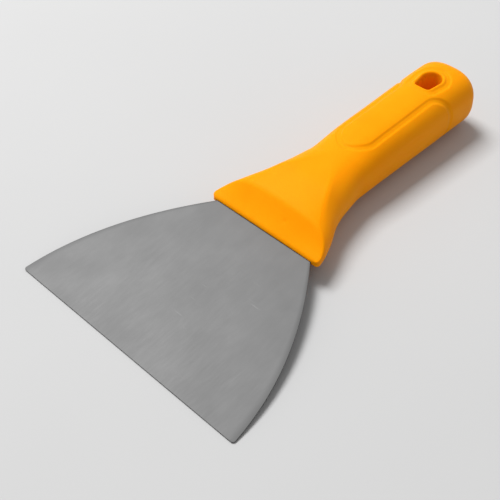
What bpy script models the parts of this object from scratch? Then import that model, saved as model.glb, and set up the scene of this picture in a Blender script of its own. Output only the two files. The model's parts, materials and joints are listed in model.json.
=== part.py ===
"""Flexible putty knife: a spring-steel blade whose tang is moulded into a two-shot plastic handle.

Metres, +Z up. The tool lies flat: the blade's front edge is towards -Y and the hang hole towards +Y.
The origin is the centre of the base of the whole tool's box.
"""

import math

import bmesh
import bpy
import numpy as np

# Blade, measured in its own plane. Its length is from the collar mouth to the front edge.
BLADE_LENGTH = 0.0772
BLADE_EDGE_WIDTH = 0.120
BLADE_ROOT_WIDTH = 0.0527
BLADE_SIDE_BULGE = 0.0067
BLADE_THICKNESS = 0.0006
BLADE_CORNER_RADIUS = 0.0012
BLADE_PITCH = math.radians(6.4)

# Tang: the part of the blade inside the handle.
SHOULDER_DEPTH = 0.0035
TANG_LENGTH = 0.056
TANG_WIDTH = 0.020
TANG_HOLE_RADIUS = 0.0038
TANG_HOLE_PLACES = (0.018, 0.042)

# Handle outside. A place is counted back from the collar mouth, and an inset forward from the rear end.
HANDLE_LENGTH = 0.132
COLLAR_WALL = 0.00365
MOUTH_THICKNESS = 0.0044
NECK_PLACE = 0.048
NECK_WIDTH = 0.0298
NECK_HEIGHT = 0.0244
GRIP_PLACE = 0.080
GRIP_WIDTH = 0.0304
GRIP_HEIGHT = 0.0272
END_INSET = 0.016
END_WIDTH = 0.0308
END_HEIGHT = 0.0290
END_ROUNDING = 0.011

# Sections between collar and neck, neck and grip, grip and end. Each holds the shares of the way from
# one to the next, for its place, half-width, underside and top.
BETWEEN_SECTIONS = (
    ((0.25, 0.25, 0.78, 0.58), (0.50, 0.67, 1.0, 0.82), (0.75, 0.89, 1.0, 0.93)),
    ((0.44, 0.50, 1.0, 0.67),),
    ((0.56, 0.50, 1.0, 0.50),),
    (),
)

# Superellipse exponents of the cross-section at the mouth and along the grip, and of the rear end's rounding.
MOUTH_EXPONENT = 3.2
GRIP_EXPONENT = 2.5
END_EXPONENT = 2.6

# Grip skin: the second shot and its outline.
SKIN_DEPTH = 0.0024
TONGUE_WIDTH = 0.0174
TONGUE_START = 0.050
TONGUE_NOSE = 0.0090
PANEL_CENTRE_INSET = 0.035
PANEL_NOSE = 0.0109
PANEL_DROP = 0.00165
ARM_OVERLAP = 0.0042

# Hang hole: a rounded outline, flat in front and round behind, through the full height.
HOLE_INSET = 0.0157
HOLE_LENGTH = 0.0130
HOLE_WIDTH = 0.0095
HOLE_NARROWING = 0.0017
HOLE_CORNER = 0.0018

MOULD_GAP = 0.0003
CUT_MARGIN = 0.010
POST_LENGTH = 0.008

# How finely round shapes are divided.
RING_POINTS = 36
BODY_RINGS = 26
END_RINGS = 7
ARC_STEPS = 12
CORNER_STEPS = 4
SMOOTH_ANGLE = math.radians(35)

STEEL = ("spring_steel", (0.27, 0.27, 0.27, 1.0), 0.38, 1.0)
HARD_PLASTIC = ("orange_plastic", (0.93, 0.44, 0.01, 1.0), 0.42, 0.0)
SKIN_PLASTIC = ("orange_grip_plastic", (0.93, 0.44, 0.01, 1.0), 0.48, 0.0)

# Places that follow from the sizes above.
TOTAL_LENGTH = BLADE_LENGTH * math.cos(BLADE_PITCH) + HANDLE_LENGTH
FRONT_Y = -TOTAL_LENGTH / 2
MOUTH_Y = FRONT_Y + BLADE_LENGTH * math.cos(BLADE_PITCH)
MOUTH_Z = BLADE_LENGTH * math.sin(BLADE_PITCH) + BLADE_THICKNESS / 2 * math.cos(BLADE_PITCH)
COLLAR_WIDTH = BLADE_ROOT_WIDTH + 2 * COLLAR_WALL
END_PLACE = HANDLE_LENGTH - END_INSET
PANEL_CENTRE = HANDLE_LENGTH - PANEL_CENTRE_INSET
HOLE_REAR = HANDLE_LENGTH - HOLE_INSET
HOLE_FRONT = HOLE_REAR - HOLE_LENGTH


def material(recipe):
    """The named Principled material, made once."""
    name, colour, roughness, metallic = recipe
    made = bpy.data.materials.get(name)
    if made is None:
        made = bpy.data.materials.new(name)
        made.use_nodes = True
        shader = made.node_tree.nodes["Principled BSDF"]
        shader.inputs["Base Color"].default_value = colour
        shader.inputs["Roughness"].default_value = roughness
        shader.inputs["Metallic"].default_value = metallic
    return made


def add_object(name, shape, recipe=None):
    """Turns a bmesh into an object. With no recipe it is a cutter: drawn as wire and not rendered."""
    bmesh.ops.recalc_face_normals(shape, faces=shape.faces)
    mesh = bpy.data.meshes.new(name)
    shape.to_mesh(mesh)
    shape.free()
    obj = bpy.data.objects.new(name, mesh)
    bpy.context.scene.collection.objects.link(obj)
    if recipe:
        mesh.materials.append(material(recipe))
    else:
        obj.hide_render = True
        obj.display_type = "WIRE"
    return obj


def boolean(obj, operation, other):
    """Adds a Boolean with another object."""
    step = obj.modifiers.new(operation.lower() + "_" + other.name, "BOOLEAN")
    step.operation = operation
    step.solver = "EXACT"
    step.object = other


def prism(name, outline, sweep, recipe=None):
    """A closed solid from a flat outline of 3-D points, extruded by one vector."""
    shape = bmesh.new()
    face = shape.faces.new([shape.verts.new(point) for point in outline])
    swept = bmesh.ops.extrude_face_region(shape, geom=[face])
    moved = [item for item in swept["geom"] if isinstance(item, bmesh.types.BMVert)]
    bmesh.ops.translate(shape, verts=moved, vec=sweep)
    return add_object(name, shape, recipe)


def arc(centre, radius, start, end, steps=ARC_STEPS):
    """Points of an arc in a plane, both ends included. The angles are in radians."""
    return [
        (centre[0] + radius * math.cos(angle), centre[1] + radius * math.sin(angle))
        for angle in np.linspace(start, end, steps + 1)
    ]


def blade_half_width(forward):
    """Half-width of the free blade at a distance forward of the mouth: a straight taper plus a bowed side."""
    share = forward / BLADE_LENGTH
    straight = BLADE_ROOT_WIDTH / 2 + (BLADE_EDGE_WIDTH - BLADE_ROOT_WIDTH) / 2 * share
    return straight + 4 * BLADE_SIDE_BULGE * share * (1 - share)


def tang_side(grow):
    """Right side of the tang, from its shoulder to its round tip, grown outwards by grow."""
    half = TANG_WIDTH / 2
    tip_centre = (0, -(TANG_LENGTH - half))
    return [
        (BLADE_ROOT_WIDTH / 2 + grow, -SHOULDER_DEPTH - grow),
        (half + grow, -SHOULDER_DEPTH - grow),
        *arc(tip_centre, half + grow, 0, -math.pi / 2),
    ]


def mirrored(right_side):
    """A closed outline from its right side, whose last point lies on the centreline."""
    return right_side + [(-x, v) for x, v in reversed(right_side[:-1])]


def on_blade(obj):
    """Places an object made in the blade's own plane: its origin goes to the middle of the collar mouth."""
    obj.location = (0, MOUTH_Y, MOUTH_Z)
    obj.rotation_euler = (BLADE_PITCH, 0, 0)
    return obj


def plate(name, outline, thickness, recipe=None):
    """A flat plate about the blade's mid-plane, from an outline given as (across, forward of the mouth)."""
    placed = [(x, -v, -thickness / 2) for x, v in outline]
    return on_blade(prism(name, placed, (0, 0, thickness), recipe))


def hang_outline():
    """Outline of the hang hole: two small front corners and a large rear round, joined by tangents."""
    rear_radius = HOLE_WIDTH / 2
    rear = (0.0, MOUTH_Y + HOLE_REAR - rear_radius)
    corner = (rear_radius - HOLE_NARROWING / 2 - HOLE_CORNER, MOUTH_Y + HOLE_FRONT + HOLE_CORNER)
    run = (rear[0] - corner[0], rear[1] - corner[1])
    lean = math.asin((rear_radius - HOLE_CORNER) / math.hypot(*run))
    tangent = math.atan2(run[1], run[0]) - math.pi / 2 - lean
    right = arc(corner, HOLE_CORNER, -math.pi / 2, tangent, CORNER_STEPS)
    right += arc(rear, rear_radius, tangent, math.pi / 2)
    return mirrored(right)


def handle_sections():
    """Places, half-widths, undersides and tops of the handle's sections, from mouth to rear end."""
    named = [
        (0, COLLAR_WIDTH / 2, MOUTH_Z - MOUTH_THICKNESS / 2, MOUTH_Z + MOUTH_THICKNESS / 2),
        (NECK_PLACE, NECK_WIDTH / 2, 0, NECK_HEIGHT),
        (GRIP_PLACE, GRIP_WIDTH / 2, 0, GRIP_HEIGHT),
        (END_PLACE, END_WIDTH / 2, 0, END_HEIGHT),
        (HANDLE_LENGTH, END_WIDTH / 2, 0, END_HEIGHT),
    ]
    sections = []
    for start, end, between in zip(named, named[1:], BETWEEN_SECTIONS):
        sections.append(start)
        for shares in between:
            sections.append([a + share * (b - a) for a, b, share in zip(start, end, shares)])
    return np.array([*sections, named[-1]]).T


def handle_profile(back):
    """Half-width, underside, top and section exponent of the handle at a distance behind the mouth."""
    places, *sizes = handle_sections()
    half_width, bottom, top = (np.interp(back, places, size) for size in sizes)
    exponent = np.interp(back, [0, NECK_PLACE], [MOUTH_EXPONENT, GRIP_EXPONENT])
    return half_width, bottom, top, exponent


def handle_outside():
    """The whole handle as rings of rounded-rectangle sections, with a flat mouth and a rounded rear end."""
    round_start = HANDLE_LENGTH - END_ROUNDING
    places = [(place, 1.0) for place in np.linspace(0, round_start, BODY_RINGS, endpoint=False)]
    for turn in np.linspace(0, math.pi / 2, END_RINGS, endpoint=False):
        rounded = END_ROUNDING * math.sin(turn) ** (2 / END_EXPONENT)
        places.append((round_start + rounded, math.cos(turn) ** (2 / END_EXPONENT)))
    shape = bmesh.new()
    rings = []
    angles = (np.arange(RING_POINTS) + 0.5) * 2 * math.pi / RING_POINTS
    for back, shrink in places:
        half_width, bottom, top, exponent = handle_profile(back)
        across = np.copysign(np.abs(np.cos(angles)) ** (2 / exponent), np.cos(angles))
        up = np.copysign(np.abs(np.sin(angles)) ** (2 / exponent), np.sin(angles))
        across *= shrink * half_width / np.abs(across).max()
        up = (top + bottom) / 2 + up * shrink * (top - bottom) / 2 / np.abs(up).max()
        rings.append([shape.verts.new((x, MOUTH_Y + back, z)) for x, z in zip(across, up)])
    for ring, following in zip(rings, rings[1:]):
        for i in range(RING_POINTS):
            j = (i + 1) % RING_POINTS
            shape.faces.new((ring[i], ring[j], following[j], following[i]))
    shape.faces.new(rings[0])
    _, bottom, top, _ = handle_profile(HANDLE_LENGTH)
    pole = shape.verts.new((0, MOUTH_Y + HANDLE_LENGTH, (bottom + top) / 2))
    for i in range(RING_POINTS):
        shape.faces.new((rings[-1][i], rings[-1][(i + 1) % RING_POINTS], pole))
    return shape


def tongue_cutter(name, grow, above):
    """Prism over (above) or under the grip whose round-nosed outline is the tongue's, grown by grow."""
    half = TONGUE_WIDTH / 2 + grow
    nose_y = MOUTH_Y + TONGUE_START + TONGUE_NOSE
    rear_y = MOUTH_Y + PANEL_CENTRE + ARM_OVERLAP
    nose = [
        (half * math.sin(angle), nose_y - (TONGUE_NOSE + grow) * math.cos(angle))
        for angle in np.linspace(-math.pi / 2, math.pi / 2, 2 * ARC_STEPS + 1)
    ]
    plan = nose + [(half, rear_y), (-half, rear_y)]
    near = handle_profile(TONGUE_START)[2]
    far = handle_profile(PANEL_CENTRE)[2]
    slope = (far - near) / (PANEL_CENTRE - TONGUE_START)
    if above:
        floor = [near - SKIN_DEPTH - grow + slope * (y - MOUTH_Y - TONGUE_START) for x, y in plan]
        return prism(name, [(x, y, z) for (x, y), z in zip(plan, floor)], (0, 0, END_HEIGHT))
    return prism(name, [(x, y, SKIN_DEPTH + grow) for x, y in plan], (0, 0, -SKIN_DEPTH - CUT_MARGIN))


def rear_cutter(name, grow):
    """Block over the rear end, hollowed in front to the round end of the side panels, grown forward."""
    centre_y = MOUTH_Y + PANEL_CENTRE - grow
    top = handle_profile(PANEL_CENTRE)[2]
    half_height = top / 2 - PANEL_DROP - grow
    hollow = [
        (centre_y + PANEL_NOSE * math.cos(angle), top / 2 + half_height * math.sin(angle))
        for angle in np.linspace(-math.pi / 2, math.pi / 2, 2 * ARC_STEPS + 1)
    ]
    high = END_HEIGHT + CUT_MARGIN
    rear_y = MOUTH_Y + HANDLE_LENGTH + CUT_MARGIN
    side = hollow + [(centre_y, high), (rear_y, high), (rear_y, -CUT_MARGIN), (centre_y, -CUT_MARGIN)]
    half = END_WIDTH / 2 + CUT_MARGIN
    return prism(name, [(-half, y, z) for y, z in side], (2 * half, 0, 0))


def skin_region(name, grow):
    """Everything that belongs to the grip skin: both tongues and the rear end."""
    region = rear_cutter(name, grow)
    boolean(region, "UNION", tongue_cutter(name + "_upper", grow, True))
    boolean(region, "UNION", tongue_cutter(name + "_lower", grow, False))
    return region


def hole_posts(name, radius, length):
    """Round posts through the tang's holes, square to the blade."""
    posts = []
    for number, place in enumerate(TANG_HOLE_PLACES):
        outline = arc((0, -place), radius, 0, 2 * math.pi, 2 * ARC_STEPS)[:-1]
        posts.append(plate(f"{name}_{number + 1}", outline, length))
    return posts


def make_blade():
    """The free blade and its tang, as one flat stamping with two holes."""
    front = BLADE_LENGTH - BLADE_CORNER_RADIUS
    corner = (blade_half_width(front) - BLADE_CORNER_RADIUS, front)
    right = [(0, BLADE_LENGTH)]
    right += arc(corner, BLADE_CORNER_RADIUS, math.pi / 2, 0, CORNER_STEPS)
    right += [(blade_half_width(v), v) for v in np.linspace(front, 0, 2 * ARC_STEPS)[1:]]
    right += tang_side(0)
    outline = mirrored(right)[:-1]
    blade = plate("blade", outline, BLADE_THICKNESS, STEEL)
    for post in hole_posts("tang_hole", TANG_HOLE_RADIUS, POST_LENGTH):
        boolean(blade, "DIFFERENCE", post)
    return blade


def blade_slot():
    """Cutter for the pocket that the tang sits in, with room round it and the studs left standing."""
    mouth = [(BLADE_ROOT_WIDTH / 2 + MOULD_GAP, CUT_MARGIN)]
    outline = mirrored(mouth + tang_side(MOULD_GAP))
    slot = plate("blade_slot", outline, BLADE_THICKNESS + 2 * MOULD_GAP)
    for post in hole_posts("tang_stud", TANG_HOLE_RADIUS - MOULD_GAP, POST_LENGTH):
        boolean(slot, "DIFFERENCE", post)
    return slot


def make_handle():
    """The hard body and the grip skin, which share one outside and meet at the moulded groove."""
    hole = prism(
        "hang_hole",
        [(x, y, -CUT_MARGIN) for x, y in hang_outline()],
        (0, 0, END_HEIGHT + 2 * CUT_MARGIN),
    )
    body = add_object("handle_body", handle_outside(), HARD_PLASTIC)
    boolean(body, "DIFFERENCE", skin_region("skin_pocket", MOULD_GAP))
    boolean(body, "DIFFERENCE", blade_slot())
    boolean(body, "DIFFERENCE", hole)
    skin = add_object("grip_skin", handle_outside(), SKIN_PLASTIC)
    boolean(skin, "INTERSECT", skin_region("skin_shape", 0.0))
    boolean(skin, "DIFFERENCE", hole)
    return body, skin


def main():
    for obj in list(bpy.data.objects):
        bpy.data.objects.remove(obj)
    blade = make_blade()
    body, skin = make_handle()
    for obj in (body, skin):
        obj.data.shade_smooth()
        obj.data.set_sharp_from_angle(angle=SMOOTH_ANGLE)
    blade.parent = body


main()
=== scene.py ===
import json
import math

import bpy
import numpy as np
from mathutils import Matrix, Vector


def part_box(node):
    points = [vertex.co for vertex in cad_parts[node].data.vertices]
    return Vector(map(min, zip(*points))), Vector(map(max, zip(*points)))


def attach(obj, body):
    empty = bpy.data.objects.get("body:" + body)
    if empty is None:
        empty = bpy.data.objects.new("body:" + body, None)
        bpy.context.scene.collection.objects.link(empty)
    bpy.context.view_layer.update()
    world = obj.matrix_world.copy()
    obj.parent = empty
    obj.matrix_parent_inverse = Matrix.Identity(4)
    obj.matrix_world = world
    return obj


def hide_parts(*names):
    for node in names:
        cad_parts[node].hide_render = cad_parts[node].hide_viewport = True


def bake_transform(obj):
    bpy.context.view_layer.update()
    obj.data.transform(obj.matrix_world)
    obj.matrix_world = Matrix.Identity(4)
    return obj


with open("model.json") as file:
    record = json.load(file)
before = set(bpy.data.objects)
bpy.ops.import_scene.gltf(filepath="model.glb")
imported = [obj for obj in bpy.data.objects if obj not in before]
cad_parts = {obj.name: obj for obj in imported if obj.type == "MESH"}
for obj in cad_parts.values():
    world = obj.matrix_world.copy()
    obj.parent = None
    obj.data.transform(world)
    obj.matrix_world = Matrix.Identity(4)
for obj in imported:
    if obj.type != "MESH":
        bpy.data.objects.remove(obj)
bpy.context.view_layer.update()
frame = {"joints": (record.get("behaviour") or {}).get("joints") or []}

mm = 0.001
mouth = np.array(frame["joints"][0]["pos_m"])     # the blade's root, in the middle of the collar mouth
handleLength = (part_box("grip_skin")[1].y - mouth[1]) / mm
bladeFront = (mouth[1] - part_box("blade")[0].y) / mm
halfBlade = 0.3                                   # half the blade's thickness
bladePitch = math.atan2(mouth[2] / mm - halfBlade, bladeFront)
print("frame loaded, handle", round(handleLength, 1), "mm, blade", round(bladeFront, 1), "mm")


# monotone cubic through stations: the slope at each is the harmonic mean of its neighbours' slopes
def curveThrough(stations, at):
    x, y = np.array(stations, float).T
    run, rise = np.diff(x), np.diff(y)
    grade = rise / run
    slope = np.zeros(len(x))
    both = grade[:-1] * grade[1:] > 0
    weightA, weightB = 2 * run[1:] + run[:-1], run[1:] + 2 * run[:-1]
    safe = np.where(both, grade[:-1], 1.0), np.where(both, grade[1:], 1.0)
    slope[1:-1] = np.where(both, (weightA + weightB) / (weightA / safe[0] + weightB / safe[1]), 0.0)
    slope[0], slope[-1] = grade[0], grade[-1]
    at = np.clip(at, x[0], x[-1])
    k = np.clip(np.searchsorted(x, at, side="right") - 1, 0, len(run) - 1)
    t = (at - x[k]) / run[k]
    start = (1 + 2 * t) * (1 - t) ** 2 * y[k] + t * (1 - t) ** 2 * run[k] * slope[k]
    return start + t * t * (3 - 2 * t) * y[k + 1] + t * t * (t - 1) * run[k] * slope[k + 1]


def smoothStep(value, low, high):
    t = np.clip((value - low) / (high - low), 0, 1)
    return t * t * (3 - 2 * t)


# the larger of two fields, with the crease between them rounded over a width
def roundedMax(a, b, width):
    return np.maximum(a, b) + np.maximum(width - np.abs(a - b), 0) ** 2 / (4 * width)


# signed distance to a closed convex outline: nearest of its segments, negative inside
def outlineDistance(px, py, outline):
    a = outline
    b = np.roll(outline, -1, axis=0)
    edge = b - a
    flat = np.stack([px.ravel(), py.ravel()], 1)
    best = np.full(len(flat), 1e9)
    inside = np.ones(len(flat), bool)
    for start, run in zip(a, edge):
        rel = flat - start
        t = np.clip(rel @ run / (run @ run), 0, 1)
        best = np.minimum(best, np.hypot(*(rel - t[:, None] * run).T))
        inside &= run[0] * rel[:, 1] - run[1] * rel[:, 0] >= 0
    return np.where(inside, -best, best).reshape(px.shape)


# all in millimetres, measured back from the mouth of the collar
handle = {
    "halfWidth": [(0, 27.8), (0.8, 29.0), (2.2, 29.6), (4, 29.3), (12, 26.4), (24, 20.4),
                  (36, 17.0), (48, 14.9), (62, 15.0), (80, 15.15), (100, 15.35), (116, 15.4), (132, 15.4)],
    "top": [(0, 14.2), (5, 16.6), (12, 19.2), (20, 21.2), (28, 22.8), (40, 23.8), (48, 24.4), (55, 25.5),
            (62, 26.4), (80, 27.2), (100, 28.2), (116, 29.0), (132, 29.0)],
    "topRoll": [(0, 0.4), (3.5, 1.3), (7, 1.8), (12, 1.6), (17, 1.0), (22, 0.4), (28, 0), (132, 0)],
    "underRoll": [(0, 1.4), (3.5, 1.8), (8, 1.4), (14, 0.6), (20, 0), (132, 0)],
    "rollPower": 4,                # the top and underside are lower by the roll at the ridge
    "landRoll": 0.7,
    "bottom": [(0, 4.5), (12, 0.9), (24, 0.2), (36, 0.0), (132, 0.0)],
    "ridge": [(0, 31.0), (3.5, 28.0), (12, 21.1), (20, 15.7), (27.6, 11.6), (40.5, 2.4),
              (45, 0.0), (132, 0.0)],
    "levelOff": (0, 48),           # where the section's middle leaves the blade's plane
    "leastTall": 0.5,
    "flankSlant": 0.85,
    "rollReach": 1.15,             # of the way to the ridge
    "leastRound": 0.02,
    "lipDrop": 1.0,
    "landRoundFull": 6.0,          # the land's crease is fully round from here
    "flankRound": (24, 50),        # where the straight flank turns into the round grip
    "flankPower": (2.0, 2.5),
    "gripPower": (1.0, 2.5),
    "ridgeRound": 1.1,
    "landAngle": 33.0,
    "landLip": 1.7,
    "landRound": 0.8,
    "landHollow": 0.6,
    "landLength": 11.0,
    "lipRound": 1.1,
    "endRound": 10.5,
    "endPower": 2.8,
    "endLean": 0.45,               # the end is rounder above than below
    "rowStep": 0.45,
    "columns": 120,                # over the top half
    "lipRows": 7,
    "endRows": 30,
    "evenGrip": (60, 100),         # the stretch that the arc to the side is measured on
    "gripRow": 60,
    "searchReach": (0.02, 1.6),
    "searchSteps": 26,
    "snapCells": 0.72,
    "crease": 48,
}


def halfHeights(s):
    top = curveThrough(handle["top"], s)
    bottom = curveThrough(handle["bottom"], s)
    bladePlane = mouth[2] / mm + s * math.sin(bladePitch)
    share = smoothStep(s, *handle["levelOff"])
    middle = bladePlane * (1 - share) + (top + bottom) / 2 * share
    return top, bottom, middle


# the handle's field at a section: flank, top plane and sloping land, the largest of the three
def handleField(s, x, z):
    top, bottom, middle = halfHeights(s)
    upper = z >= middle
    tall = np.where(upper, top - middle, middle - bottom)
    roll = np.where(upper, curveThrough(handle["topRoll"], s), curveThrough(handle["underRoll"], s))
    q = np.abs(z - middle) / np.maximum(tall - roll, handle["leastTall"])
    turn = smoothStep(s, *handle["flankRound"])
    power = handle["flankPower"][0] + (handle["flankPower"][1] - handle["flankPower"][0]) * turn
    root = handle["gripPower"][0] + (handle["gripPower"][1] - handle["gripPower"][0]) * turn
    ridge = curveThrough(handle["ridge"], s)
    wide = curveThrough(handle["halfWidth"], s)
    base = 1 - q ** power
    flankX = ridge + (wide - ridge) * np.sign(base) * np.abs(base) ** (1 / root)
    flank = (np.abs(x) - np.where(base < 0, ridge, flankX)) * handle["flankSlant"]
    toRidge = np.clip(np.abs(x) / np.maximum(ridge, 1), 0, handle["rollReach"])
    rolled = roll * toRidge ** handle["rollPower"]
    plane = np.abs(z - middle) - tall + rolled
    creased = roundedMax(flank, plane, handle["ridgeRound"] * (1 - turn) + handle["leastRound"])
    slope = math.radians(handle["landAngle"])
    lip = np.clip(s / handle["lipRound"], 0, 1)
    lipHeight = handle["landLip"] - handle["lipDrop"] * (1 - np.sqrt(1 - (1 - lip) ** 2))
    bladePlane = mouth[2] / mm + s * math.sin(bladePitch)
    hollow = handle["landHollow"] * np.sin(np.pi * np.clip(s / handle["landLength"], 0, 1))
    landHeight = lipHeight + s * math.tan(slope) - hollow - handle["landRoll"] * rolled
    land = (np.abs(z - bladePlane) - landHeight) * math.cos(slope)
    return roundedMax(creased, land, handle["landRound"] * np.clip(s / handle["landRoundFull"], 0.05, 1))


# a point on the outside, for a place s along the handle and an angle round it: the field's zero on that ray
def handleSurface(s, angle):
    top, bottom, middle = halfHeights(s)
    wide = curveThrough(handle["halfWidth"], s)
    tall = np.where(np.sin(angle) >= 0, top - middle, middle - bottom)
    dx, dz = wide * np.cos(angle), tall * np.sin(angle)
    low, high = (np.full(s.shape, reach) for reach in handle["searchReach"])
    for _ in range(handle["searchSteps"]):
        mid = (low + high) / 2
        out = handleField(s, mid * dx, middle + mid * dz) > 0
        high = np.where(out, mid, high)
        low = np.where(out, low, mid)
    reach = (low + high) / 2
    into = np.clip((s - handleLength + handle["endRound"]) / handle["endRound"], 0, 1)
    power = handle["endPower"] - handle["endLean"] * np.sin(angle)
    reach = reach * (1 - into ** power) ** (1 / power)
    return np.stack([reach * dx, s, middle + reach * dz], -1)


# the outline of the second shot, as (s, arc from the top line): nose, straight edge, round rear
groove = {
    "halfWidth": 8.95,             # of the tongue, along the surface
    "tip": 49.9,
    "nose": 10.0,
    "nosePower": 1.65,
    "rearCentre": 97.0,
    "rearLength": 10.8,
    "depth": 0.44,
    "floorHalf": 0.75,
    "wall": 0.85,
}

hole = {
    "front": 103.3,
    "rear": 116.3,
    "width": 9.5,
    "frontWidth": 7.8,
    "corner": 1.8,
    "rim": 0.9,
    "dish": 0.55,
    "dishWidth": 3.6,
    "dishFrom": (98.0, 106.0),
    "wallRows": 12,
    "rimRows": 7,
    "cornerPoints": 10,
    "rearPoints": 26,
    "dishRise": (0.1, 1.3),
    "dishFade": 1.0,
}

skin = {"thickness": 2.0, "clearance": 0.1}
gateMark = {"x": 6.8, "s": 6.0, "radius": 0.65, "depth": 0.22}
slot = {"halfWidth": 26.8, "halfHeight": 0.72, "depth": 7.0, "power": 14}
farOff, deepInSkin = 50.0, 30.0    # distances given to points that lie far from the groove or the hole


def arcPoints(centre, radius, start, end, count):
    angle = np.linspace(start, end, count)
    return np.stack([centre[0] + radius * np.cos(angle), centre[1] + radius * np.sin(angle)], 1)


# the hang hole seen from above: two small front corners and a large rear round, joined by tangents
def holeOutline(grow):
    rearRadius = hole["width"] / 2
    rear = np.array([0, hole["rear"] - rearRadius])
    corner = np.array([hole["frontWidth"] / 2 - hole["corner"], hole["front"] + hole["corner"]])
    run = rear - corner
    lean = math.asin((rearRadius - hole["corner"]) / np.hypot(*run))
    tangent = math.atan2(run[1], run[0]) - math.pi / 2 - lean
    right = np.concatenate([
        arcPoints(corner, hole["corner"] + grow, -math.pi / 2, tangent, hole["cornerPoints"]),
        arcPoints(rear, rearRadius + grow, tangent, math.pi / 2, hole["rearPoints"]),
    ])
    left = right[-2::-1] * (-1, 1)
    return np.concatenate([right, left])


# signed distance along the surface to the second shot's outline, positive inside the second shot:
# places are (s, arc from the top line), and quarter is the arc from the top line to the side of the grip
def grooveDistance(s, fromTop, quarter):
    turn = np.linspace(0, math.pi / 2, 60)
    power = 2 / groove["nosePower"]
    straight = quarter - groove["halfWidth"]
    nose = np.stack([groove["tip"] + groove["nose"] * (1 - np.cos(turn) ** power),
                     groove["halfWidth"] * np.sin(turn) ** power], 1)
    rear = np.stack([groove["rearCentre"] + groove["rearLength"] * np.sin(turn),
                     quarter - straight * np.cos(turn)], 1)
    past = np.array([[groove["rearCentre"] + groove["rearLength"], 2 * quarter - rear[-2, 1]]])
    line = np.concatenate([nose[1:2] * (1, -1), nose, rear, past])
    flat = np.stack([s.ravel(), fromTop.ravel()], 1)
    best = np.full(len(flat), 1e9)
    for a, b in zip(line, line[1:]):
        run = b - a
        t = np.clip((flat - a) @ run / (run @ run), 0, 1)
        best = np.minimum(best, np.hypot(*(flat - a - t[:, None] * run).T))
    best = best.reshape(s.shape)
    ahead = np.clip((groove["tip"] + groove["nose"] - s) / groove["nose"], 0, 1)
    noseEdge = groove["halfWidth"] * (1 - ahead ** groove["nosePower"]) ** (1 / groove["nosePower"])
    behind = np.clip((s - groove["rearCentre"]) / groove["rearLength"], 0, 1)
    inside = (s > groove["tip"]) & (fromTop < noseEdge)
    inside |= (s >= groove["rearCentre"]) & (quarter - fromTop > straight * np.sqrt(1 - behind ** 2))
    inside |= s >= groove["rearCentre"] + groove["rearLength"]
    return np.where(inside, best, -best)


def sample(grid, i, j):
    i = np.clip(i, 0, grid.shape[0] - 1.000001)
    j = np.clip(j, 0, grid.shape[1] - 1.000001)
    a, b = i.astype(int), j.astype(int)
    u, v = i - a, j - b
    return (grid[a, b] * (1 - u) * (1 - v) + grid[a + 1, b] * u * (1 - v) + grid[a, b + 1] * (1 - u) * v
            + grid[a + 1, b + 1] * u * v)


# slides grid places that lie within a cell of a field's zero line onto it, straight across the line
def snap(fieldGrid, i, j, near):
    padded = np.concatenate([fieldGrid[:, 1:2], fieldGrid, fieldGrid[:, -2:-1]], 1)
    slopeI, slopeJ = np.gradient(padded)
    slopeI, slopeJ = slopeI[:, 1:-1], slopeJ[:, 1:-1]
    cell = np.hypot(slopeI, slopeJ)
    close = np.abs(fieldGrid) < near * cell
    for _ in range(4):
        value = sample(fieldGrid, i, j)
        gi, gj = sample(slopeI, i, j), sample(slopeJ, i, j)
        step = np.where(close, value / np.maximum(gi * gi + gj * gj, 1e-9), 0)
        i = i - step * gi
        j = j - step * gj
    return i, j, close


def vertexNormals(points, triangles):
    corner = points[triangles]
    face = np.cross(corner[:, 1] - corner[:, 0], corner[:, 2] - corner[:, 0])
    normals = np.zeros_like(points)
    for k in range(3):
        np.add.at(normals, triangles[:, k], face)
    return normals / np.maximum(np.linalg.norm(normals, axis=1), 1e-12)[:, None]


# edges that only one triangle has, in that triangle's direction
def openEdges(triangles):
    ends = np.concatenate([triangles[:, [0, 1]], triangles[:, [1, 2]], triangles[:, [2, 0]]])
    key = np.sort(ends, 1)
    _, index, count = np.unique(key, axis=0, return_inverse=True, return_counts=True)
    return ends[count[index.reshape(-1)] == 1]


def meshObject(name, points, triangles, sharp=None):
    used, index = np.unique(triangles, return_inverse=True)
    points, triangles = points[used], index.reshape(-1, 3)
    corner = points[triangles]
    if np.einsum("ij,ij->i", corner[:, 0], np.cross(corner[:, 1], corner[:, 2])).sum() < 0:
        triangles = triangles[:, ::-1]
    mesh = bpy.data.meshes.new(name)
    mesh.vertices.add(len(points))
    mesh.vertices.foreach_set("co", (points * mm).astype(np.float32).ravel())
    mesh.loops.add(triangles.size)
    mesh.loops.foreach_set("vertex_index", triangles.astype(np.int32).ravel())
    mesh.polygons.add(len(triangles))
    mesh.polygons.foreach_set("loop_start", np.arange(0, triangles.size, 3, dtype=np.int32))
    mesh.update(calc_edges=True)
    mesh.validate()
    mesh.shade_smooth()
    if sharp:
        mesh.set_sharp_from_angle(angle=math.radians(sharp))
    made = bpy.data.objects.new(name, mesh)
    bpy.context.scene.collection.objects.link(made)
    return made


# triangles of the upper grid: each cell is split along the diagonal whose ends both lie on a seam
def gridTriangles(shape, onSeam):
    a = np.arange(shape[0] * shape[1]).reshape(shape)
    p, q, r, t = a[:-1, :-1], a[1:, :-1], a[1:, 1:], a[:-1, 1:]
    seam = onSeam.ravel()
    other = (seam[q] & seam[t] & ~(seam[p] & seam[r]))[..., None]
    first = np.where(other, np.stack([p, q, t], -1), np.stack([p, q, r], -1))
    second = np.where(other, np.stack([q, r, t], -1), np.stack([p, r, t], -1))
    return np.concatenate([first.reshape(-1, 3), second.reshape(-1, 3)])


# triangles between two rings of points, both counted the same way round
def strip(ringA, ringB):
    nextA, nextB = np.roll(ringA, -1), np.roll(ringB, -1)
    return np.concatenate([np.stack([ringA, ringB, nextB], 1), np.stack([ringA, nextB, nextA], 1)])


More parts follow.
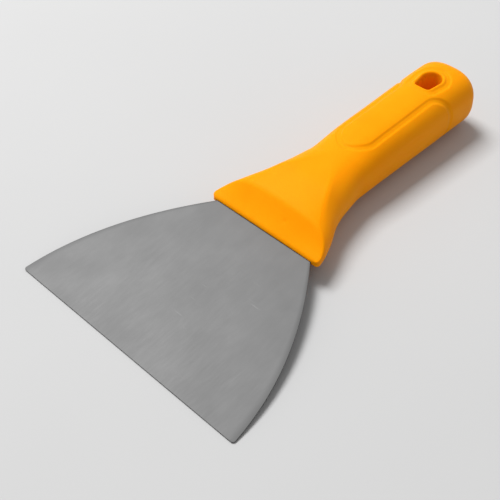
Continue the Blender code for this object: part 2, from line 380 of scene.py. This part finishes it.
# the second shot's groove, the dish round the hang hole and the gate mark, as depths below the plain surface
def carvedDepth(points, f, g, isUpper):
    floorHalf = groove["floorHalf"]
    depth = groove["depth"] * (1 - smoothStep(np.abs(f), floorHalf, floorHalf + groove["wall"]))
    wide = hole["dishWidth"]
    ring = smoothStep(g, *hole["dishRise"]) * (1 - smoothStep(g, wide - hole["dishFade"], wide))
    depth = np.maximum(depth, hole["dish"] * ring * smoothStep(points[:, 1], *hole["dishFrom"]))
    away = np.hypot(points[:, 0] - gateMark["x"], points[:, 1] - gateMark["s"]) / gateMark["radius"]
    return depth + np.where(isUpper, gateMark["depth"] * np.exp(-away ** 2), 0)


# rounded walls of the hang hole: a quarter round at each rim and straight between
def holeWall(points, upperIds, lowerIds, firstId):
    outline = holeOutline(0)
    ends = np.roll(outline, -1, axis=0)
    place = points[upperIds][:, :2]
    run = (ends - outline)[None]
    t = np.clip(((place[:, None] - outline) * run).sum(-1) / (run ** 2).sum(-1), 0, 1)
    near = outline + t[..., None] * run
    pick = np.linalg.norm(near - place[:, None], axis=-1).argmin(1)
    inward = near[np.arange(len(place)), pick] - place
    top, bottom = points[upperIds][:, 2], points[lowerIds][:, 2]
    turn = np.linspace(0, math.pi / 2, hole["rimRows"])[1:]
    rows = [(math.sin(a), hole["rim"] * (1 - math.cos(a)), 0.0) for a in turn]
    rows += [(1.0, hole["rim"], share) for share in np.linspace(0, 1, hole["wallRows"])[1:-1]]
    rows += [(math.sin(a), hole["rim"] * (1 - math.cos(a)), 1.0) for a in turn[::-1]]
    wall = []
    for inwards, down, share in rows:
        flat = place + inward * inwards
        if share in (0.0, 1.0):
            z = top - down if share == 0 else bottom + down
        else:
            z = (top - down) * (1 - share) + (bottom + down) * share
        wall.append(np.concatenate([flat, z[:, None]], 1))
    ids = firstId + np.arange(len(rows) * len(upperIds)).reshape(len(rows), -1)
    return np.concatenate(wall), np.concatenate([upperIds[None], ids, lowerIds[None]])


# the whole outside as one closed surface, with each point's distances to the groove and the hang hole
def makeHandle():
    half = handle["columns"]
    lipRows = handle["lipRound"] * (1 - np.cos(np.linspace(0, math.pi / 2, handle["lipRows"])))
    endStart = handleLength - handle["endRound"]
    body = np.arange(handle["lipRound"] + handle["rowStep"], endStart, handle["rowStep"])
    turn = np.linspace(0, math.pi / 2, handle["endRows"])[:-1]
    end = endStart + handle["endRound"] * np.sin(turn) ** (2 / handle["endPower"])
    rows = np.concatenate([lipRows, body, end])
    angles = np.linspace(0, math.pi, half + 1)
    s, angle = np.meshgrid(rows, angles, indexing="ij")
    base = handleSurface(s, angle)
    step = np.linalg.norm(np.diff(base, axis=1), axis=2)
    along = np.concatenate([np.zeros((len(rows), 1)), np.cumsum(step, 1)], 1)
    fromTop = np.abs(along - along[:, half // 2][:, None])
    gripStart, gripEnd = handle["evenGrip"]
    grip = (rows > gripStart) & (rows < gripEnd)
    quarter = along[grip, half // 2].mean()
    f = grooveDistance(s, fromTop, quarter)
    onTop = np.sin(angle) > 0.3
    g = np.where(onTop, outlineDistance(base[..., 0], s, holeOutline(hole["rim"])), farOff)
    i, j = np.meshgrid(np.arange(len(rows), dtype=float), np.arange(half + 1, dtype=float),
                       indexing="ij")
    iGroove, jGroove, onGroove = snap(f, i, j, handle["snapCells"])
    iHole, jHole, onHole = snap(np.clip(g, -3, 3), i, j, handle["snapCells"])
    i = np.where(onHole, iHole, np.where(onGroove, iGroove, i))
    j = np.where(onHole, jHole, np.where(onGroove, jGroove, j))
    f, g = np.where(onGroove, 0, sample(f, i, j)), np.where(onHole, 0, sample(g, i, j))
    s, angle = np.interp(i, np.arange(len(rows)), rows), np.interp(j, np.arange(half + 1), angles)
    upper, lower = handleSurface(s, angle), handleSurface(s, -angle)
    triangles = gridTriangles(s.shape, onGroove | onHole)
    return upper, lower, triangles, f, g


# closes the grid round underside, mouth, rear end and hang hole, and parts it into the two shots
def makeShots():
    upper, lower, triangles, f, g = makeHandle()
    rowCount, columnCount = upper.shape[:2]
    half = columnCount - 1
    upperId = np.arange(rowCount * columnCount).reshape(rowCount, columnCount)
    lowerId = upperId.copy()
    lowerId[:, 1:-1] = upperId.size + np.arange(rowCount * (half - 1)).reshape(rowCount, half - 1)
    points = np.concatenate([upper.reshape(-1, 3), lower[:, 1:-1].reshape(-1, 3)])
    f = np.concatenate([f.ravel(), f[:, 1:-1].ravel()])
    g = np.concatenate([g.ravel(), g[:, 1:-1].ravel()])
    rings = np.concatenate([upperId, lowerId[:, -2:0:-1]], 1)

    angle = np.linspace(0, 2 * math.pi, 2 * half + 1)[:-1]
    across, up = np.cos(angle), np.sin(angle)
    power = 2 / slot["power"]
    ring = np.stack([slot["halfWidth"] * np.sign(across) * np.abs(across) ** power, np.zeros(2 * half),
                     slot["halfHeight"] * np.sign(up) * np.abs(up) ** power], 1)
    deep = ring + (0, slot["depth"], slot["depth"] * math.sin(bladePitch))
    extra = np.concatenate([ring, deep, [deep.mean(0)]]) + (0, 0, mouth[2] / mm)
    rear = np.array([[0, handleLength, halfHeights(np.array([handleLength]))[2][0]]])
    first = len(points)
    slotRing, slotDeep = first + np.arange(2 * half), first + 2 * half + np.arange(2 * half)
    deepPole, rearPole = first + 4 * half, first + 4 * half + 1
    points = np.concatenate([points, extra, rear])
    f = np.concatenate([f, np.full(len(extra), -farOff), [deepInSkin]])
    g = np.concatenate([g, np.full(len(extra) + 1, farOff)])

    whole = np.concatenate([triangles, lowerId.ravel()[triangles][:, ::-1]])
    fan = np.stack([rings[-1], np.full(2 * half, rearPole), np.roll(rings[-1], -1)], 1)
    whole = np.concatenate([whole, strip(slotRing, rings[0]), strip(slotDeep, slotRing), fan,
                            np.stack([np.full(2 * half, deepPole), slotDeep, np.roll(slotDeep, -1)], 1)])
    normals = vertexNormals(points, whole)
    isUpper = np.zeros(len(points), bool)
    isUpper[:upperId.size] = True
    carved = carvedDepth(points, f, g, isUpper)
    outwards = np.sign((normals[upperId[handle["gripRow"], half // 2]] * (0, 0, 1)).sum())
    points = points - outwards * carved[:, None] * normals

    whole = whole[g[whole].sum(1) >= 0]
    edges = openEdges(whole)
    topEdges = edges[(edges < upperId.size).all(1)]
    topIds = np.unique(topEdges)
    lookup = np.full(len(points), -1)
    lookup[topIds] = np.arange(len(topIds))
    wallPoints, wallIds = holeWall(points, topIds, lowerId.ravel()[topIds], len(points))
    points = np.concatenate([points, wallPoints])
    f = np.concatenate([f, np.full(len(wallPoints), deepInSkin)])
    b, a = lookup[topEdges[:, 0]], lookup[topEdges[:, 1]]
    for near, far in zip(wallIds, wallIds[1:]):
        whole = np.concatenate([whole, np.stack([near[a], near[b], far[b]], 1),
                                np.stack([near[a], far[b], far[a]], 1)])
    print("handle surface", len(points), "points,", len(openEdges(whole)), "open edges")

    normals = outwards * vertexNormals(points, whole)
    inSkin = f[whole].sum(1) > 0
    skinOut, bodyOut = whole[inSkin], whole[~inSkin]
    inner = points - skin["thickness"] * normals
    core = points - (skin["thickness"] + skin["clearance"]) * normals
    offset = len(points)
    seam = openEdges(skinOut)
    wall = np.concatenate([np.stack([seam[:, 1], seam[:, 0], seam[:, 0] + offset], 1),
                           np.stack([seam[:, 1], seam[:, 0] + offset, seam[:, 1] + offset], 1)])
    shift = np.array([0, mouth[1] / mm, 0])
    skinPiece = meshObject("gripSkin", np.concatenate([points, inner]) + shift,
                           np.concatenate([skinOut, skinOut[:, ::-1] + offset, wall]),
                           sharp=handle["crease"])
    bodyPiece = meshObject("handleBody", np.concatenate([points, core]) + shift,
                           np.concatenate([bodyOut, skinOut + offset, wall[:, ::-1]]),
                           sharp=handle["crease"])
    return bodyPiece, skinPiece


handleBody, gripSkin = makeShots()
print("handle shots made:", len(handleBody.data.polygons), len(gripSkin.data.polygons))

# the blade, in millimetres, measured forward of the mouth in its own plane
blade = {
    "rootHalf": 26.35,
    "bulge": 6.7,
    "halfThickness": halfBlade,
    "tipHalfThickness": 0.24,
    "groundFrom": 60.0,            # the last stretch is ground a little thinner
    "corner": 1.2,
    "tangHalf": 10.0,
    "tangLength": 56.0,
    "shoulder": 3.5,
    "edgeRound": 0.12,
    "rowStep": 1.1,
    "columns": 40,
    "frontGap": 0.02,              # keeps the front edge inside the CAD blade
    "tangStep": 4,
    "tipHalf": 0.02,               # of the tang's half-width, so that its end isn't a point
    "crease": 30,
}


# rings round the plate at each place along it: half-width from a straight taper and a bowed side
def makeBlade():
    length = bladeFront / math.cos(bladePitch) - blade["frontGap"]
    edgeHalf = (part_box("blade")[1].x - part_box("blade")[0].x) / 2 / mm
    corner = blade["corner"]
    front = length - corner

    def freeHalf(v):
        share = v / length
        return (blade["rootHalf"] + (edgeHalf - blade["rootHalf"]) * share
                + 4 * blade["bulge"] * share * (1 - share))

    tipTurn = np.linspace(0, math.pi / 2, 9)
    tangTip = blade["tangLength"] - blade["tangHalf"]
    cornerTurn = np.linspace(0, math.pi / 2, 7)
    tangHalf, shoulder, step = blade["tangHalf"], blade["shoulder"], blade["tangStep"]
    tang = [(-tangTip - tangHalf * math.cos(a), tangHalf * max(math.sin(a), blade["tipHalf"]))
            for a in tipTurn]
    tang += [(v, tangHalf) for v in np.arange(-tangTip + step, -shoulder, step)]
    tang += [(-shoulder, tangHalf), (-shoulder, blade["rootHalf"]), (0, blade["rootHalf"])]
    free = [(v, freeHalf(v)) for v in np.arange(blade["rowStep"], front, blade["rowStep"])]
    tip = [(front + corner * math.sin(a), freeHalf(front) - corner * (1 - math.cos(a))) for a in cornerTurn]
    v, wide = np.array(tang + free + tip).T

    columns, r = blade["columns"], blade["edgeRound"]
    thick = blade["halfThickness"] + (blade["tipHalfThickness"] - blade["halfThickness"]) * smoothStep(
        v, blade["groundFrom"], length)
    flat = np.linspace(1, -1, columns + 1)
    turn = np.linspace(0, math.pi / 2, 4)
    inset = np.concatenate([r * (1 - np.cos(turn))[:-1], [r]])
    lower = np.concatenate([r * (1 - np.sin(turn))[:-1], [0]])
    ringX, ringZ = [], []
    for x, drop in zip(inset, lower):          # right edge, going up
        ringX.append(wide - x)
        ringZ.append(thick - drop)
    for share in flat[1:-1]:
        ringX.append((wide - r) * share)
        ringZ.append(thick)
    for x, drop in zip(inset[::-1], lower[::-1]):
        ringX.append(-(wide - x))
        ringZ.append(thick - drop)
    ringX, ringZ = np.stack(ringX, 1), np.stack(ringZ, 1)
    x = np.concatenate([ringX, ringX[:, ::-1]], 1)
    z = np.concatenate([ringZ, -ringZ[:, ::-1]], 1)
    along = np.repeat(v[:, None], x.shape[1], 1)
    sine, cosine = math.sin(bladePitch), math.cos(bladePitch)
    points = np.stack([x, mouth[1] / mm - along * cosine - z * sine,
                       mouth[2] / mm - along * sine + z * cosine], -1)
    count = x.shape[1]
    ids = np.arange(points.shape[0] * count).reshape(-1, count)
    triangles = [strip(a, b) for a, b in zip(ids, ids[1:])]
    side = count // 2
    for ring, turnRound in ((ids[0], False), (ids[-1], True)):
        near, far = ring[:side], ring[side:][::-1]
        cap = np.concatenate([np.stack([near[:-1], near[1:], far[1:]], 1),
                              np.stack([near[:-1], far[1:], far[:-1]], 1)])
        triangles.append(cap[:, ::-1] if turnRound else cap)
    return meshObject("springBlade", points.reshape(-1, 3), np.concatenate(triangles), sharp=blade["crease"])


springBlade = makeBlade()
print("blade made:", len(springBlade.data.polygons))


# a shader socket that takes part in sums: each operator adds its Math node
class Wire:
    def __init__(self, maker, socket):
        self.maker = maker
        self.socket = socket

    def sum(self, operation, first, second):
        return self.maker.node("ShaderNodeMath", {"operation": operation}, {0: first, 1: second})

    def __add__(self, other):
        return self.sum("ADD", self, other)

    def __radd__(self, other):
        return self.sum("ADD", other, self)

    def __sub__(self, other):
        return self.sum("SUBTRACT", self, other)

    def __rsub__(self, other):
        return self.sum("SUBTRACT", other, self)

    def __mul__(self, other):
        return self.sum("MULTIPLY", self, other)

    def __rmul__(self, other):
        return self.sum("MULTIPLY", other, self)


# one material's nodes: node() takes a type, its settings, then the values or links of its sockets
class Finish:
    def __init__(self, name):
        self.material = bpy.data.materials.new(name)
        self.material.use_nodes = True
        self.tree = self.material.node_tree
        self.shader = self.tree.nodes["Principled BSDF"]
        self.place = self.node("ShaderNodeTexCoord", {}, {}, "Object")

    def node(self, kind, settings, sockets, output=0):
        made = self.tree.nodes.new(kind)
        for key, value in settings.items():
            setattr(made, key, value)
        for key, value in sockets.items():
            self.put(made.inputs[key], value)
        return Wire(self, made.outputs[output])

    def put(self, socket, value):
        if isinstance(value, Wire):
            self.tree.links.new(value.socket, socket)
        else:
            socket.default_value = value

    def noise(self, scale, detail=2.0, roughness=0.5, place=None):
        sockets = {"Vector": place or self.place, "Scale": scale, "Detail": detail, "Roughness": roughness}
        return self.node("ShaderNodeTexNoise", {}, sockets, "Fac")

    def stretched(self, scale, turn=(0, 0, 0)):
        return self.node("ShaderNodeMapping", {}, {"Vector": self.place, "Scale": scale, "Rotation": turn})

    def ramp(self, value, low, high, outLow=0.0, outHigh=1.0):
        sockets = {"Value": value, "From Min": low, "From Max": high, "To Min": outLow, "To Max": outHigh}
        return self.node("ShaderNodeMapRange", {"interpolation_type": "SMOOTHSTEP"}, sockets)

    def mix(self, share, first, second):
        return self.node("ShaderNodeMix", {"data_type": "RGBA"}, {0: share, 6: first, 7: second}, 2)

    def bump(self, height, distance, strength=1.0, normal=None):
        sockets = {"Height": height, "Distance": distance, "Strength": strength}
        if normal:
            sockets["Normal"] = normal
        return self.node("ShaderNodeBump", {}, sockets)

    def finish(self, **sockets):
        for key, value in sockets.items():
            self.put(self.shader.inputs[key.replace("_", " ")], value)
        return self.material


plastic = {
    "light": (0.93, 0.315, 0.0025, 1),
    "deep": (0.91, 0.290, 0.0015, 1),
    "dust": (0.95, 0.45, 0.06, 1),
    "roughness": 0.46,
    "specular": 0.06,
    "specularTint": (1.0, 0.56, 0.06, 1),
    "subsurface": 0.15,
    "subsurfaceScale": 0.0035,
    "subsurfaceRadius": (1.0, 0.30, 0.05),
    "cloudScale": 38,
    "flowScale": 60,
    "flowStretch": (1.0, 0.12, 1.0),
    "grainSize": 0.00045,
    "grainDepth": 0.000012,
    "finerGrain": 2.6,             # times as fine as the grain
    "scuffStretch": (40, 900, 40),
    "scuffTurn": (0.2, 0.1, 0.9),
    "scuffShow": 0.12,
    "speckScale": 420.0,
    "speckShow": 0.5,
    "roughCloud": 0.10,
    "roughGrain": 0.06,
    "roughScuff": 0.10,
    "waveScale": 160,
    "waveDepth": 0.00002,
}


# moulded orange plastic: a fine spark-eroded grain, faint flow lines along the shot, small scuffs and specks
def orangePlastic(name, rougher, flowTurn):
    m = Finish(name)
    cloud = m.noise(plastic["cloudScale"], 3)
    flow = m.noise(plastic["flowScale"], 2, 0.6, m.stretched(plastic["flowStretch"], flowTurn))
    grain = m.noise(1 / plastic["grainSize"], 2, 0.6)
    finer = m.noise(plastic["finerGrain"] / plastic["grainSize"], 1)
    scuffPlace = m.stretched(plastic["scuffStretch"], plastic["scuffTurn"])
    scuff = m.ramp(m.noise(1, 3, 0.7, scuffPlace), 0.68, 0.76) * m.ramp(m.noise(55, 2), 0.5, 0.62)
    cells = m.node("ShaderNodeTexVoronoi", {}, {"Vector": m.place, "Scale": plastic["speckScale"]})
    speck = m.ramp(cells, 0.0, 0.11, 1, 0)
    speck = speck * m.ramp(m.noise(90, 2), 0.62, 0.7)
    colour = m.mix(m.ramp(cloud * 0.6 + flow * 0.4, 0.35, 0.68), plastic["light"], plastic["deep"])
    colour = m.mix(speck * plastic["speckShow"] + scuff * plastic["scuffShow"], colour, plastic["dust"])
    rough = plastic["roughness"] + plastic["roughCloud"] * (cloud - 0.5)
    rough = rough + plastic["roughGrain"] * (grain - 0.5) + plastic["roughScuff"] * scuff
    height = grain * 0.7 + finer * 0.3 + 0.5 * scuff
    normal = m.bump(height, plastic["grainDepth"], 1.0)
    normal = m.bump(m.noise(plastic["waveScale"], 2), plastic["waveDepth"], 1.0, normal)
    return m.finish(Base_Color=colour, Roughness=rough + rougher, Normal=normal,
                    Subsurface_Weight=plastic["subsurface"], Subsurface_Radius=plastic["subsurfaceRadius"],
                    Subsurface_Scale=plastic["subsurfaceScale"], Specular_IOR_Level=plastic["specular"],
                    Specular_Tint=plastic["specularTint"])


steel = {
    "light": (0.141, 0.141, 0.141, 1),
    "dark": (0.115, 0.115, 0.115, 1),
    "metallic": 0.75,
    "roughness": 0.60,
    "streakStretch": (1400, 26, 1400),
    "broadStretch": (160, 9, 160),
    "cloudScale": 30,
    "patchScale": 75,
    "scratchStretch": (60, 2600, 60),
    "scratchTurn": (0, 0, 0.35),
    "scratchColour": (0.62, 0.62, 0.61, 1),
    "scratchShow": 0.06,
    "roughCloud": 0.16,
    "roughStreak": 0.10,
    "roughScratch": 0.06,
    "grainScale": 2600,
    "grainDepth": 0.000006,
    "waveScale": 22,
    "waveDepth": 0.00012,
}


# rolled spring steel: streaks along the rolling direction, cloudy patches and a few hair scratches
def springSteel():
    m = Finish("rolledSpringSteel")
    streak = m.noise(1, 4, 0.65, m.stretched(steel["streakStretch"]))
    broad = m.noise(1, 3, 0.6, m.stretched(steel["broadStretch"]))
    cloud = m.noise(steel["cloudScale"], 3, 0.55)
    patch = m.noise(steel["patchScale"], 2, 0.5)
    scratchPlace = m.stretched(steel["scratchStretch"], steel["scratchTurn"])
    scratch = m.ramp(m.noise(1, 2, 0.5, scratchPlace), 0.70, 0.78)
    scratch = scratch * m.ramp(m.noise(48, 2), 0.52, 0.66)
    grain = m.noise(steel["grainScale"], 2)
    tone = 0.45 * cloud + 0.25 * patch + 0.18 * streak + 0.12 * broad
    colour = m.mix(m.ramp(tone, 0.36, 0.66), steel["dark"], steel["light"])
    colour = m.mix(scratch * steel["scratchShow"], colour, steel["scratchColour"])
    rough = steel["roughness"] + steel["roughCloud"] * (cloud - 0.5)
    rough = rough + steel["roughStreak"] * (streak - 0.5) - steel["roughScratch"] * scratch
    normal = m.bump(streak * 0.6 + grain * 0.4, steel["grainDepth"], 0.6)
    normal = m.bump(m.noise(steel["waveScale"], 1), steel["waveDepth"], 0.5, normal)
    return m.finish(Base_Color=colour, Roughness=rough, Normal=normal, Metallic=steel["metallic"])


handleBody.data.materials.append(orangePlastic("hardShot", 0.0, (0, 0, 0)))
gripSkin.data.materials.append(orangePlastic("gripShot", 0.02, (0, 0, 0.3)))
springBlade.data.materials.append(springSteel())
print("finishes made")

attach(handleBody, "handle")
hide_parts("handle_body")
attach(gripSkin, "handle")
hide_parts("grip_skin")
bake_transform(springBlade)
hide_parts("blade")

stage = {
    "floorSize": 4.0,
    "floorColour": (0.53, 0.53, 0.53, 1),
    "floorDim": 0.985,             # its darker patches
    "floorDrop": 0.0001,
    "keyFrom": (-1.02, 0.08, 1.76),
    "keySize": 0.86,
    "keyPower": 48.0,
    "fillFrom": (1.5, -0.6, 0.42),
    "fillSize": 0.9,
    "fillPower": 1.4,
    "world": (1.0, 1.0, 1.0, 1),
    "worldStrength": 0.42,
    "cameraFrom": (0.1900, -0.2299, 0.2721),
    "azimuth": 44.22,
    "elevation": 44.67,
    "lens": 67.4,
}


def makeFloor():
    half = stage["floorSize"] / 2
    mesh = bpy.data.meshes.new("floor")
    low = -stage["floorDrop"]
    corners = [(-half, -half, low), (half, -half, low), (half, half, low), (-half, half, low)]
    mesh.from_pydata(corners, [], [(0, 1, 2, 3)])
    floor = bpy.data.objects.new("floor", mesh)
    bpy.context.scene.collection.objects.link(floor)
    m = Finish("palePaper")
    tone = m.mix(m.ramp(m.noise(6, 3), 0.3, 0.7), stage["floorColour"],
                 tuple(stage["floorDim"] * c for c in stage["floorColour"][:3]) + (1,))
    mesh.materials.append(m.finish(Base_Color=tone, Roughness=0.9, Specular_IOR_Level=0.1))


def areaLight(name, place, size, power):
    light = bpy.data.lights.new(name, "AREA")
    light.size = size
    light.energy = power
    lamp = bpy.data.objects.new(name, light)
    lamp.location = place
    lamp.rotation_euler = (-Vector(place)).to_track_quat("-Z", "Y").to_euler()
    bpy.context.scene.collection.objects.link(lamp)


def makeStudio():
    makeFloor()
    areaLight("keyLight", stage["keyFrom"], stage["keySize"], stage["keyPower"])
    areaLight("fillLight", stage["fillFrom"], stage["fillSize"], stage["fillPower"])
    world = bpy.data.worlds.new("studio")
    world.use_nodes = True
    sky = world.node_tree.nodes["Background"]
    sky.inputs["Color"].default_value = stage["world"]
    sky.inputs["Strength"].default_value = stage["worldStrength"]
    bpy.context.scene.world = world
    camera = bpy.data.cameras.new("camera")
    camera.lens = stage["lens"]
    eye = bpy.data.objects.new("camera", camera)
    eye.location = stage["cameraFrom"]
    turn, tilt = math.radians(stage["azimuth"]), math.radians(stage["elevation"])
    forward = Vector((-math.sin(turn) * math.cos(tilt), math.cos(turn) * math.cos(tilt), -math.sin(tilt)))
    eye.rotation_euler = forward.to_track_quat("-Z", "Y").to_euler()
    bpy.context.scene.collection.objects.link(eye)
    bpy.context.scene.camera = eye
    bpy.context.scene.view_settings.view_transform = "Standard"


makeStudio()
print("studio made")
